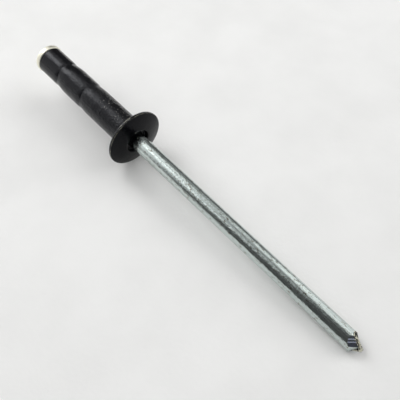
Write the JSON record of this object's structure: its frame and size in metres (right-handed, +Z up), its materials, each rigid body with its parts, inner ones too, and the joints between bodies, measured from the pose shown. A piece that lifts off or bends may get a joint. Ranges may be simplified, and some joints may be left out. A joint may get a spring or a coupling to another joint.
{
  "type": "pop rivet",
  "caption": "Unset blind rivet: black domed-flange body with crimped shank on a bright headed mandrel with a pinched point.",
  "frame": {"origin": "centre of the flange's seating face, on the rivet's axis", "axes": "+X toward the mandrel's point, with the axis dipping 4.43 degrees toward it as the rivet lies; +Z up"},
  "size_m": [0.0705, 0.0094, 0.0095],
  "materials": {
    "black_paint": "semi-gloss black paint with a fine orange peel over cold-formed aluminium",
    "zinc_plated_steel": "bright zinc plate over drawn steel wire, with fine lengthwise drawing lines"
  },
  "bodies": {
    "root": {"rivet_body": "black_paint", "mandrel": "zinc_plated_steel"}
  },
  "joints": []
}
